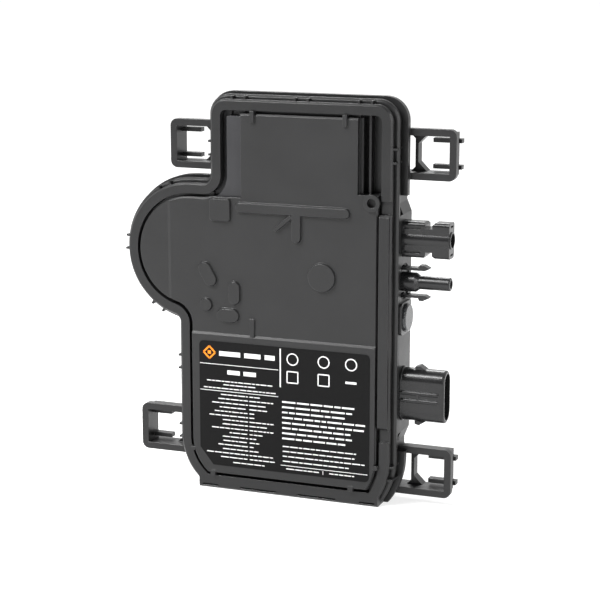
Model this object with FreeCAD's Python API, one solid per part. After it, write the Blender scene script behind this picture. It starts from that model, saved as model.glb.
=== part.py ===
import FreeCAD, Part
import math
import os

# Potted solar micro inverter.  Millimetres.
# Origin: middle of the flat rear face.  +X towards the connectors, -Y out of the
# front face, +Z up.  The rim's face is the datum from which depths are counted.

# Body
body_height = 212.0          # top of the flange to the foot lip
body_width = 98.5            # upper part, across the rim
body_depth = 28.5            # rim's face to the rear face
flange_over_top = 3.4        # flange beyond the rim, above and to the left
flange_over_side = 5.0       # flange beyond the rim, on the connector side
top_corner_radius = 8.7
foot_corner_left_radius = 32.0
foot_corner_right_radius = 38.0
foot_corner_left_rise = 28.0    # corner's centre above the foot lip
foot_corner_right_rise = 25.5
lower_part_out = 18.6        # lower part beyond the upper part, on the left
bulge_radius = 36.0          # round chamber for the transformer
bulge_centre_out = 12.25     # its centre beyond the upper part's left side
bulge_centre_drop = 80.2     # its centre below the rim's top
inside_corner_radius = 4.6
smallest_corner = 0.8
foot_line_rise = 1.8         # rim's foot line above the lip's underside
foot_lip_left_inset = 10.1   # lip's ends inside the body's sides
foot_lip_right_inset = 6.1
foot_lip_height = 7.6
foot_slot_height = 0.9
foot_slot_depth = 1.2

# Front frame
rim_width = 5.5
rim_bevel = 0.9
rim_height = 3.0             # plain side behind the rim's face
rim_groove_depth = 1.1
rim_groove_width = 1.2
ledge_out = 2.25
ledge_bevel_out = 1.2
ledge_depth = 2.6
skirt_out = 0.6
wall = 2.0                   # moulded walls all round
cover_flange_depth = 10.4    # flange's face behind the rim's face
flange_thickness = 1.6
seal_thickness = 0.6
seal_width = 2.0
rail_rise = 1.4              # raised right-hand rail beyond the rim's face
rail_extra_width = 0.7
rail_notch = 6.8
rail_notch_depth = 1.5
channel_floor_depth = 9.0
channel_wall = 1.2
channel_rib = 1.2
channel_rib_depth = 4.0
channel_rib_right = 7.3      # ribs' distance from the rim's inner edge
channel_rib_left = 4.4
nib_width = 1.1
nib_out = 1.7
nib_pair = 7.0

# Face panel
panel_gap = 1.6              # groove between rim and panel
panel_proud = 0.7            # panel's face beyond the rim's face
panel_thickness = 2.0
panel_seat_depth = 3.3       # shelf that the panel's edge stands on
panel_edge_wall = 1.6
panel_bevel = 0.8
channel_left_width = 11.65   # deep channels beside the panel's upper tongue
channel_right_width = 12.4
channel_bottom_drop = 45.6   # right channel's lower end below the rim's top
channel_left_extra = 4.9     # left channel reaches this much lower
chamber_step_out = 11.8      # crease on the round chamber, left of its centre
chamber_setback = 0.8
label_panel_proud = 1.0
tab_proud = 1.8              # clips that bridge the groove, beyond the rim's face
channel_ledge = 2.0          # step beside the tongue, in the corner channels
channel_ledge_depth = 2.4
label_panel_height = 85.8    # upper edge above the foot
rib_height = 1.5
rib_draft = 0.6
tee_drop = 9.8               # tee's bar below the right channel
tee_reach_left = 32.4
tee_reach_right = 25.0
tee_stem_x = -1.35
tee_stem = 14.0
tee_radius = 2.9
strut_radius = 1.2
square_pad = 12.4
square_pad_out = 0.6         # beyond the upper part's left side
square_pad_gap = 0.5
boss_in = 10.0
boss_drop = 3.6
boss_radius = 4.3
boss_bore = 2.4
label_thickness = 0.25
label_left_inset = 11.85     # label's sides inside the body's sides
label_right_inset = 10.25
label_top_gap = 4.4
label_foot_rise = 13.7
label_corner = 2.5
label_chamfer = 7.5

# Mounting ears
ear_height = 25.9
ear_out = 29.0               # beyond the body's side
ear_bar = 3.6
ear_front_depth = 13.8
ear_frame_thickness = 3.8
ear_inner_wall = 1.5
ear_corner = 3.8
ear_web = 1.6
ear_web_out = 5.6            # web beyond the body's side
ear_web_depth = 20.5         # web's front behind the rim's face
ear_gusset = 4.6
ear_gusset_small = 2.2
ear_root_overlap = 0.2       # gussets run this far into the bars they join
ear_reach_in = 9.0           # bars run in to the case where its corner is round
ear_lug_length = 10.7
ear_lug_width = 4.2
ear_lug_thickness = 2.2
ear_lug_gap = 1.6
ear_lug_tip = 2.7            # lug's end beyond the ear's rear box
ear_rear_gap = 2.0           # ears end short of the rear face
ear_top_drop = 12.6          # upper ears below the rim's top
ear_left_foot_rise = 13.4    # lower left ear above the foot
ear_right_foot_rise = 4.6    # lower right ear above the foot

# Connector wall and connectors
port_wall_out = 2.25         # connector wall beyond the body's side
port_wall = 5.0
port_wall_front_depth = 7.2
port_depth = 15.0            # connectors' axis behind the rim's face
port_slope = 8.0
port_spare_above = 0.594     # shares of the free height between the ears
port_wall_above = 0.09
port_wall_below = 0.18
dc_wide_height = 18.4
dc_wide_thickness = 9.4
dc_wide_length = 24.8
dc_wide_bore = 7.3
dc_wide_notch_start = 12.6    # notch's near side behind the tip
dc_wide_notch_width = 3.6
dc_wide_notch_floor = 6.0
dc_wide_notch_round = 1.3
dc_wide_groove = 1.0
dc_wide_barrel = 11.0
dc_pitch = 22.5              # wide connector's axis to slim connector's axis
dc_pin = 2.8
slim_nose = 7.0
slim_nose_length = 25.6
slim_collar = 10.0
slim_collar_length = 6.6
slim_recess = 19.0
slim_recess_depth = 0.8
contact_bore = 3.0
contact_wall = 0.6
arm_offset = 7.1
arm_length = 14.0
arm_thickness = 1.5
arm_width = 4.6
arm_pivot = 1.2              # radius of the arm's root
arm_barb = 1.3
lens_pitch = 18.7            # slim connector's axis to the window's centre
lens_diameter = 14.8
lens_bore = 11.0
bezel_size = 16.4
bezel_thickness = 1.4
ac_height = 27.8
ac_thickness = 12.8
ac_length = 23.8
ac_wall = 1.7
ac_mouth_round = 1.2
ac_rib_length = 20.4
ac_rib = 1.1                # radius of the long ribs
ac_pitch = 40.2              # window's centre to the AC connector's axis
ac_pin = 2.4
shoulder = 1.4
port_seal = 1.2
seat_gap = 0.05

# Circuit board and what stands on it
board_thickness = 1.6
board_depth = 11.0           # board's front behind the rim's face
board_margin = 3.5
core_radius = 24.0
core_height = 19.0
core_wall = 2.6
core_post = 8.0
core_plate = 3.6
coil_gap = 0.3
bobbin_wall = 0.8
capacitor_radius = 6.3
capacitor_height = 11.5
capacitor_pitch = 14.5
film_length = 26.0
film_width = 11.0
film_height = 10.5
choke_radius = 11.5
choke_bore = 5.0
choke_height = 8.0
chip_thickness = 1.4
transistor_size = 8.0
transistor_thickness = 2.2
spreader_thickness = 1.2
pad_thickness = 0.5
lead_width = 3.0
lead_thickness = 0.8

# Derived places
half = body_width / 2
top = body_height / 2
foot = -body_height / 2
rim_top = top - flange_over_top
foot_line = foot + foot_line_rise
bulge_x = -(half + bulge_centre_out)
bulge_z = rim_top - bulge_centre_drop
lower_left = -(half + lower_part_out)
seam_depth = cover_flange_depth + flange_thickness
foot_lip_left = lower_left + foot_lip_left_inset
foot_lip_right = half - foot_lip_right_inset
plateau_left = half - rim_width - channel_left_width
plateau_right = half - rim_width - channel_right_width
label_left = lower_left + label_left_inset
label_right = half - label_right_inset
case_flange_depth = seam_depth + seal_thickness * 0.5
case_front = seam_depth
flange_back = seam_depth + flange_thickness + 0.2
port_face = half + port_wall_out
port_inner = port_face - port_wall
upper_ear_top = rim_top - ear_top_drop
upper_ear_foot = upper_ear_top - ear_height
lower_ear_top = foot + ear_right_foot_rise + ear_height
dc_wide_half = dc_wide_height / 2
bezel_half = bezel_size / 2
ac_half = ac_height / 2
stack = dc_wide_half + dc_pitch + lens_pitch + ac_pitch + ac_half
spare = upper_ear_foot - lower_ear_top - stack
dc_wide_z = upper_ear_foot - spare * port_spare_above - dc_wide_half
slim_z = dc_wide_z - dc_pitch
lens_z = slim_z - lens_pitch
ac_z = lens_z - ac_pitch
port_top = dc_wide_z + dc_wide_half + spare * port_wall_above
port_foot = ac_z - ac_half - spare * port_wall_below
panel_step_z = foot + label_panel_height
channel_foot_z = rim_top - channel_bottom_drop
channel_left_foot_z = channel_foot_z - channel_left_extra


def y(depth):
    """Depth behind the rim's face, as a Y coordinate."""
    return depth - body_depth


def v(x, yy, z):
    return FreeCAD.Vector(x, yy, z)


def line(a, b):
    return Part.LineSegment(v(a[0], 0, a[1]), v(b[0], 0, b[1])).toShape()


def arc(a, m, b):
    return Part.Arc(v(a[0], 0, a[1]), v(m[0], 0, m[1]), v(b[0], 0, b[1])).toShape()


def arc_about(centre, radius, start_deg, end_deg):
    """Arc in the XZ plane from one angle to another, angles counted from +X to +Z."""
    def at(deg):
        a = math.radians(deg)
        return centre[0] + radius * math.cos(a), centre[1] + radius * math.sin(a)
    return arc(at(start_deg), at((start_deg + end_deg) / 2), at(end_deg))


def prism(wire, d0, d1):
    """Solid between two depths over a closed outline drawn in the XZ plane."""
    face = Part.Face(wire)
    face.translate(v(0, y(d0), 0))
    return face.extrude(v(0, d1 - d0, 0))


def taper(front_wire, d0, rear_wire, d1):
    """Solid that runs from one outline to another between two depths."""
    a = front_wire.copy()
    a.translate(v(0, y(d0), 0))
    b = rear_wire.copy()
    b.translate(v(0, y(d1), 0))
    return Part.makeLoft([a, b], True, True)


def block(x0, x1, d0, d1, z0, z1):
    """Box from lowest to highest x, depth and z."""
    return Part.makeBox(x1 - x0, d1 - d0, z1 - z0, v(x0, y(d0), z0))


def rod_x(x0, x1, depth, z, radius):
    return Part.makeCylinder(radius, x1 - x0, v(x0, y(depth), z), v(1, 0, 0))


def rod_y(d0, d1, x, z, radius):
    return Part.makeCylinder(radius, d1 - d0, v(x, y(d0), z), v(0, 1, 0))


def polygon(points):
    pts = [v(x, 0, z) for x, z in points]
    return Part.makePolygon(pts + [pts[0]])


def rounded(x0, x1, z0, z1, r):
    """Closed outline of a rectangle with round corners."""
    return Part.Wire([
        line((x0 + r, z1), (x1 - r, z1)),
        arc_about((x1 - r, z1 - r), r, 90, 0),
        line((x1, z1 - r), (x1, z0 + r)),
        arc_about((x1 - r, z0 + r), r, 0, -90),
        line((x1 - r, z0), (x0 + r, z0)),
        arc_about((x0 + r, z0 + r), r, -90, -180),
        line((x0, z0 + r), (x0, z1 - r)),
        arc_about((x0 + r, z1 - r), r, 180, 90),
    ])


def obround(a, b, r):
    """Closed outline of a slot with round ends about two centres."""
    turn = math.degrees(math.atan2(b[1] - a[1], b[0] - a[0]))
    first = arc_about(a, r, turn + 90, turn + 270)
    last = arc_about(b, r, turn - 90, turn + 90)
    return Part.Wire([
        first,
        line(point(first, 1), point(last, 0)),
        last,
        line(point(last, 1), point(first, 0)),
    ])


def point(edge, end):
    p = edge.Vertexes[end].Point
    return p.x, p.z


def body_outline(grow, right=None, above=None, below=None):
    """Outline of the body, moved out by grow (inwards where it is negative)."""
    right = grow if right is None else right
    above = grow if above is None else above
    below = grow if below is None else below
    left_x = -(half + grow)
    right_x = half + right
    top_z = rim_top + above
    foot_z = foot_line - below
    corner = max(top_corner_radius + grow, smallest_corner)
    fillet = inside_corner_radius - grow
    chamber = bulge_radius + grow
    low_x = lower_left - grow
    left_r = foot_corner_left_radius + grow
    right_r = foot_corner_right_radius + grow
    left_c = (low_x + left_r, foot + foot_corner_left_rise)
    right_c = (right_x - right_r, foot + foot_corner_right_rise)
    right_end = math.degrees(math.asin((foot_z - right_c[1]) / right_r))
    left_end = -180 - math.degrees(math.asin((foot_z - left_c[1]) / left_r))
    neck = (left_x - fillet, bulge_z + chamber + fillet)
    hip_x = low_x - fillet
    hip_z = bulge_z - math.sqrt((chamber + fillet) ** 2 - (hip_x - bulge_x) ** 2)
    hip_deg = math.degrees(math.atan2(bulge_z - hip_z, bulge_x - hip_x))
    edges = [
        line((left_x + corner, top_z), (right_x - corner, top_z)),
        arc_about((right_x - corner, top_z - corner), corner, 90, 0),
        line((right_x, top_z - corner), (right_x, right_c[1])),
        arc_about(right_c, right_r, 0, right_end),
    ]
    low_right = point(edges[-1], 1)
    left_arc = arc_about(left_c, left_r, left_end, -180)
    edges.append(line(low_right, point(left_arc, 0)))
    edges.append(left_arc)
    edges.append(line((low_x, left_c[1]), (low_x, hip_z)))
    edges.append(arc_about((hip_x, hip_z), fillet, 0, hip_deg))
    edges.append(arc_about((bulge_x, bulge_z), chamber, hip_deg - 180, -270))
    edges.append(line((bulge_x, bulge_z + chamber), (neck[0], bulge_z + chamber)))
    edges.append(arc_about(neck, fillet, -90, 0))
    edges.append(line((left_x, neck[1]), (left_x, top_z - corner)))
    edges.append(arc_about((left_x + corner, top_z - corner), corner, 180, 90))
    return Part.Wire(Part.__sortEdges__(edges))


def union(shapes):
    return shapes[0].fuse(shapes[1:]).removeSplitter()


def cut(shape, tools):
    return shape.cut(tools).removeSplitter()


def flange_outline():
    below = foot_line - foot
    return body_outline(flange_over_top, flange_over_side, flange_over_top, below)


def port_outline(extra, inner):
    """Outline of the thick connector wall, with its sloping ends."""
    return polygon([
        (inner, port_top + port_slope + extra),
        (half - 1.0, port_top + port_slope + extra),
        (port_face + extra, port_top + extra),
        (port_face + extra, port_foot - extra),
        (half - 1.0, port_foot - port_slope - extra),
        (inner, port_foot - port_slope - extra),
    ])


def right_flange_gap():
    """Space beside the connector wall where the flange is left off."""
    return prism(polygon([
        (half - 1.5, port_top + port_slope + 2),
        (half + 12, port_top + port_slope + 2),
        (half + 12, port_foot - port_slope - 2),
        (half - 1.5, port_foot - port_slope - 2),
    ]), cover_flange_depth - 0.4, flange_back + 0.5)


def corner_gusset(x, z, out, up, size, d0, d1):
    """Three-cornered fillet block in the corner between a web and a bar."""
    return prism(polygon([
        (x - out * ear_root_overlap, z - up * ear_root_overlap),
        (x + out * size, z - up * ear_root_overlap),
        (x + out * size, z),
        (x, z + up * size),
        (x - out * ear_root_overlap, z + up * size),
    ]), d0, d1)


def ear(side, top_z, root_x, out_x, rear_depth):
    """One hollow mounting ear.  side is +1 on the right and -1 on the left."""
    foot_z = top_z - ear_height
    start = root_x - side * ear_reach_in
    frame_back = ear_front_depth + ear_frame_thickness
    inset = ear_bar - ear_inner_wall
    ends = sorted((start, out_x))
    frame = prism(rounded(ends[0], ends[1], foot_z, top_z, ear_corner),
                  ear_front_depth, frame_back)
    box_ends = sorted((start, out_x - side * inset))
    rear = block(box_ends[0], box_ends[1], frame_back, rear_depth,
                 foot_z + inset, top_z - inset)
    # one window from the case's wall to the outer bar
    z0 = foot_z + ear_bar
    z1 = top_z - ear_bar
    window_out = out_x - side * ear_bar
    opening = sorted((start - side * 1.0, window_out))
    window = block(opening[0], opening[1], ear_front_depth - 1, rear_depth + 1, z0, z1)
    body = cut(union([frame, rear]), [window])
    # web across the window near the case, set back, with gussets on both sides
    web = sorted((root_x + side * ear_web_out, root_x + side * (ear_web_out + ear_web)))
    pieces = [block(web[0], web[1], ear_web_depth, rear_depth, z0 - 0.2, z1 + 0.2)]
    for z, up in ((z0, 1), (z1, -1)):
        pieces.append(corner_gusset(root_x + side * (ear_web_out + ear_web), z, side, up,
                                    ear_gusset, ear_web_depth, rear_depth))
        pieces.append(corner_gusset(root_x + side * ear_web_out, z, -side, up,
                                    ear_gusset_small, ear_web_depth, rear_depth))
    # two lugs that guide the bracket, through the outer wall
    lug_depth = rear_depth - ear_lug_width - 1.0
    for z in (z1 - ear_lug_gap - ear_lug_thickness, z0 + ear_lug_gap):
        lug = sorted((window_out - side * ear_lug_length, out_x - side * inset + side * ear_lug_tip))
        pieces.append(block(lug[0], lug[1], lug_depth, lug_depth + ear_lug_width,
                            z, z + ear_lug_thickness))
    return union([body] + pieces)


def four_ears():
    """(side, top, root, tip) of each mounting ear."""
    left_low_top = foot + ear_left_foot_rise + ear_height
    return [
        (1, upper_ear_top, half, half + ear_out),
        (-1, upper_ear_top, -half, -(half + ear_out)),
        (1, lower_ear_top, half, half + ear_out),
        (-1, left_low_top, lower_left, lower_left - ear_out - 1.2),
    ]


def wide_outline(extra, x0, x1):
    """Wide DC connector's cross-section, drawn across X and run along it."""
    z0 = dc_wide_z - dc_wide_half - extra
    z1 = dc_wide_z + dc_wide_half + extra
    t = dc_wide_thickness / 2 + extra
    bar = Part.makeBox(x1 - x0, 2 * t, z1 - z0, v(x0, y(port_depth) - t, z0))
    corners = [e for e in bar.Edges
               if abs(e.tangentAt(e.FirstParameter).x) > 0.9]
    bar = bar.makeFillet(2.0, corners)
    return bar.fuse(rod_x(x0, x1, port_depth, dc_wide_z, dc_wide_barrel / 2 + extra))


def ac_bar(extra, x0, x1):
    """Obround bar along X on the AC connector's axis."""
    r = ac_thickness / 2 + extra
    reach = ac_half + extra - r
    low = rod_x(x0, x1, port_depth, ac_z - reach, r)
    high = rod_x(x0, x1, port_depth, ac_z + reach, r)
    middle = Part.makeBox(x1 - x0, 2 * r, 2 * reach, v(x0, y(port_depth) - r, ac_z - reach))
    return union([low, high, middle])


def port_holes():
    """Holes that the four connectors and the window leave in the connector wall."""
    x0 = port_inner - 10
    x1 = port_face + 10
    return [
        wide_outline(seat_gap, x0, x1),
        rod_x(x0, x1, port_depth, slim_z, slim_collar / 2 + seat_gap),
        rod_x(port_face - slim_recess_depth, x1, port_depth, slim_z, slim_recess / 2),
        rod_x(x0, x1, port_depth, lens_z, lens_bore / 2 + seat_gap),
        ac_bar(seat_gap, x0, x1),
    ]


def arm_pockets():
    """Round seats in the connector wall for the roots of the two latch arms."""
    pockets = []
    for up in (1, -1):
        z = slim_z + up * arm_offset
        x = port_face - slim_recess_depth
        clear = arm_pivot + 0.06
        pockets.append(block(x - 4.2, x + 1, port_depth - arm_width / 2 - 0.3,
                             port_depth + arm_width / 2 + 0.3, z - clear, z + clear))
    return pockets


def rear_case():
    back = body_depth
    shell = prism(body_outline(0), case_front, back)
    rear_edges = [e for e in shell.Edges
                  if abs(e.CenterOfMass.y) < 1e-6 and abs(e.BoundBox.YMax) < 1e-6]
    shell = shell.makeFillet(wall * 1.6, rear_edges)
    lip = block(foot_lip_left, foot_lip_right, case_front, back - wall * 2,
                foot, foot + foot_lip_height)
    flange = prism(flange_outline(), case_flange_depth, flange_back)
    flange = flange.cut(right_flange_gap())
    port = prism(port_outline(0, port_inner), port_wall_front_depth, back - wall)
    port = port.cut(block(port_inner - 1, port_inner + 30, port_wall_front_depth - 1,
                          case_front, port_top, port_top + 40))
    port = port.cut(block(port_inner - 1, port_inner + 30, port_wall_front_depth - 1,
                          case_front, port_foot - 40, port_foot))
    body = union([shell, lip, flange, port])
    hollow = prism(body_outline(-wall), port_wall_front_depth - 2, back - wall)
    keep = prism(port_outline(0, port_inner), port_wall_front_depth - 3, back)
    body = cut(body, [hollow.cut(keep)])
    rear_depth = body_depth - ear_rear_gap
    inside = prism(body_outline(-wall / 2), 0, back)
    for side, top_z, root_x, out_x in four_ears():
        one = ear(side, top_z, root_x, out_x, rear_depth)
        body = body.fuse(one.cut(inside))
    return cut(body, port_holes() + arm_pockets())


def rim_stack():
    """Outside of the front frame: rim, groove, ledge and skirt, from front to back."""
    g = rim_groove_depth
    z = rim_height
    low = foot_line_rise * 0.8
    parts = [
        taper(body_outline(-rim_bevel), 0, body_outline(0), rim_bevel),
        prism(body_outline(0), rim_bevel, z),
        prism(body_outline(-g), z, z + rim_groove_width),
        taper(body_outline(ledge_bevel_out, below=low), z + rim_groove_width,
              body_outline(ledge_out, below=low), z + rim_groove_width + 1.1),
        prism(body_outline(ledge_out, below=low), z + rim_groove_width + 1.1,
              z + rim_groove_width + ledge_depth),
        prism(body_outline(skirt_out), z + rim_groove_width + ledge_depth,
              cover_flange_depth),
        prism(flange_outline(), cover_flange_depth, seam_depth),
    ]
    return parts


def nib_places():
    """Middle of each pair of small ribs on the skirt, with its outward direction."""
    ear_z = upper_ear_top - ear_height / 2
    places = []
    for x in (-34.0, 0.4, 34.6):
        places.append((x * half / 49.25, rim_top, 0, 1))
    places.append((half, ear_z, 1, 0))
    places.append((-half, ear_z, -1, 0))
    places.append((half, foot + 18.4, 1, 0))
    places.append((lower_left, foot + 68.0, -1, 0))
    places.append((lower_left, foot + 30.0, -1, 0))
    for deg in (176, 238, 114):
        a = math.radians(deg)
        places.append((bulge_x + bulge_radius * math.cos(a),
                       bulge_z + bulge_radius * math.sin(a), math.cos(a), math.sin(a)))
    return places


def skirt_nibs():
    nibs = []
    for x, z, nx, nz in nib_places():
        for shift in (-nib_pair / 2, nib_pair / 2):
            nib = Part.makeBox(nib_out + 1.0, cover_flange_depth - rim_bevel, nib_width,
                               v(-1.0, y(rim_bevel), -nib_width / 2))
            nib.rotate(v(0, 0, 0), v(0, 1, 0), -math.degrees(math.atan2(nz, nx)))
            nib.translate(v(x - nz * shift, 0, z + nx * shift))
            nibs.append(nib)
    return nibs


def foot_lip():
    x0 = foot_lip_left
    x1 = foot_lip_right
    z1 = foot + foot_lip_height
    lip = union([
        prism(polygon([(x0, foot), (x1, foot), (x1, z1), (x0, z1)]), rim_bevel, seam_depth),
        taper(polygon([(x0, foot + rim_bevel), (x1, foot + rim_bevel), (x1, z1), (x0, z1)]), 0,
              polygon([(x0, foot), (x1, foot), (x1, z1), (x0, z1)]), rim_bevel),
    ])
    slots = []
    for a, b in ((0.02, 0.11), (0.235, 0.44), (0.56, 0.77), (0.90, 0.985)):
        s0 = x0 + (x1 - x0) * a
        s1 = x0 + (x1 - x0) * b
        slots.append(block(s0, s1, -1, foot_slot_depth, foot + 1.3, foot + 1.3 + foot_slot_height))
    return lip.cut(slots)


def channel(side, grow, d0, d1):
    """Deep corner channel beside the panel's tongue, grown outwards by a wall."""
    inner = (plateau_right if side > 0 else plateau_left) - grow
    low = channel_foot_z if side > 0 else channel_left_foot_z
    ends = sorted((side * inner, side * half))
    bar = block(ends[0], ends[1], d0, d1, low - grow, top)
    return bar.common(prism(body_outline(grow - rim_width), d0, d1))


def front_cover():
    stack_parts = rim_stack()
    shell = union(stack_parts + [foot_lip()])
    inner_start = wall
    hollow = prism(body_outline(-wall), inner_start, seam_depth + 1)
    opening = prism(body_outline(-rim_width), -1, panel_seat_depth + 1)
    body = cut(shell, [hollow, opening])
    # inner wall of the rim, and the shelf that the panel stands on
    collar = prism(body_outline(-rim_width + panel_edge_wall), inner_start - 0.5,
                   panel_seat_depth + wall).cut(opening)
    collar = collar.cut(prism(body_outline(-(rim_width + panel_gap + panel_edge_wall)),
                              panel_seat_depth - 1, panel_seat_depth + wall + 1))
    body = body.fuse(collar)
    # two deep corner channels beside the raised tongue
    for side in (1, -1):
        body = body.fuse(channel(side, channel_wall, panel_seat_depth,
                                 channel_floor_depth + channel_wall))
    body = body.cut([channel(side, 0, -1, channel_floor_depth) for side in (1, -1)])
    for x, low in ((half - rim_width - channel_rib_right, channel_foot_z),
                   (-(half - rim_width - channel_rib_left), channel_left_foot_z)):
        body = body.fuse(block(x - channel_rib / 2, x + channel_rib / 2, channel_rib_depth,
                               channel_floor_depth + 0.5, low - 0.2,
                               rim_top - rim_width + 0.5))
    body = body.fuse(skirt_nibs())
    body = body.fuse(right_rail())
    # left off beside the connector wall
    gap = seat_gap
    port = prism(port_outline(gap, port_inner - gap), port_wall_front_depth - gap, seam_depth + 1)
    body = cut(body, [port, right_flange_gap()])
    body = body.cut(rail_notches())
    return body.removeSplitter()


def rail_span():
    return foot + 42.0, channel_foot_z - 9.5


def right_rail():
    """Raised rail on the rim's right side, between its two notches."""
    z0, z1 = rail_span()
    x0 = half - rim_width - rail_extra_width
    x1 = half - rim_bevel
    body = block(x0, x1, -rail_rise, panel_seat_depth, z0, z1)
    fronts = [e for e in body.Edges
              if abs(e.BoundBox.YMax - y(-rail_rise)) < 1e-6 and e.BoundBox.ZLength < 1e-6]
    return body.makeChamfer(rail_rise * 0.9, fronts)


def rail_notches():
    """Two notches in the rim, one at each end of the raised rail."""
    z0, z1 = rail_span()
    x0 = half - rim_width - 1.0
    x1 = half + 1.0
    return [block(x0, x1, -2, rail_notch_depth, a, a + rail_notch)
            for a in (z1, z0 - rail_notch)]


def panel_outline(extra):
    """Face panel's outline: the body's, inside the rim and its groove."""
    return body_outline(-(rim_width + panel_gap) + extra)


def panel_channels(extra):
    """What the two corner channels leave out of the panel."""
    return [
        block(plateau_right - extra, half, -5, 30, channel_foot_z - extra, rim_top + 5),
        block(-half, -(plateau_left - extra), -5, 30, channel_left_foot_z - extra, rim_top + 5),
    ]


def rib(outline, wide, face):
    """Raised feature with drafted sides on a face at the given depth."""
    return taper(outline, face - rib_height, wide, face + 0.1)


def panel_ribs(face):
    """Tee rib, stiffening strip, pads, disc and boss on the panel's face."""
    d = rib_draft
    bar_z = channel_foot_z - tee_drop
    ribs = []
    bar_left = (-tee_reach_left, bar_z)
    bar_right = (tee_reach_right, bar_z)
    stem_head = (tee_stem_x, bar_z)
    stem_foot = (tee_stem_x, bar_z - tee_stem)
    for a, b in ((bar_left, bar_right), (stem_head, stem_foot)):
        ribs.append(rib(obround(a, b, tee_radius - d), obround(a, b, tee_radius), face))
    strut_head = (tee_stem_x - 3.2, bar_z - 3.6)
    strut_foot = (tee_stem_x - 11.2, bar_z - 10.2)
    ribs.append(rib(obround(strut_head, strut_foot, strut_radius - d / 2),
                    obround(strut_head, strut_foot, strut_radius), face))
    # pads
    z = bulge_z
    pads = [
        ((-52.55, z - 8.7), (-49.45, z - 14.0), 3.9),
        ((-36.0, z - 17.6), (-36.0, z - 23.2), 3.6),
        ((-52.0, z - 27.6), (-52.0, z - 27.7), 3.7),
        ((-42.3, z - 32.6), (-36.9, z - 32.6), 3.9),
    ]
    for a, b, r in pads:
        ribs.append(rib(obround(a, b, r - d), obround(a, b, r), face))
    disc = Part.Wire(Part.makeCircle(7.7, v(12.5, 0, z - 8.9), v(0, -1, 0)))
    disc_top = Part.Wire(Part.makeCircle(7.7 - d, v(12.5, 0, z - 8.9), v(0, -1, 0)))
    ribs.append(taper(disc_top, face - rib_height, disc, face + 0.1))
    # small square pad under the left channel
    pad_left = -half - square_pad_out
    pad_top = channel_left_foot_z - square_pad_gap
    pad_right = pad_left + square_pad
    pad_foot = pad_top - square_pad
    ribs.append(rib(rounded(pad_left + d, pad_right - d, pad_foot + d, pad_top - d, 1.4),
                    rounded(pad_left, pad_right, pad_foot, pad_top, 1.6), face))
    # screw boss under the right channel
    boss = rod_y(face - rib_height, face + 0.1, half - boss_in, channel_foot_z - boss_drop,
                 boss_radius)
    ribs.append(boss)
    return ribs


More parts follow.
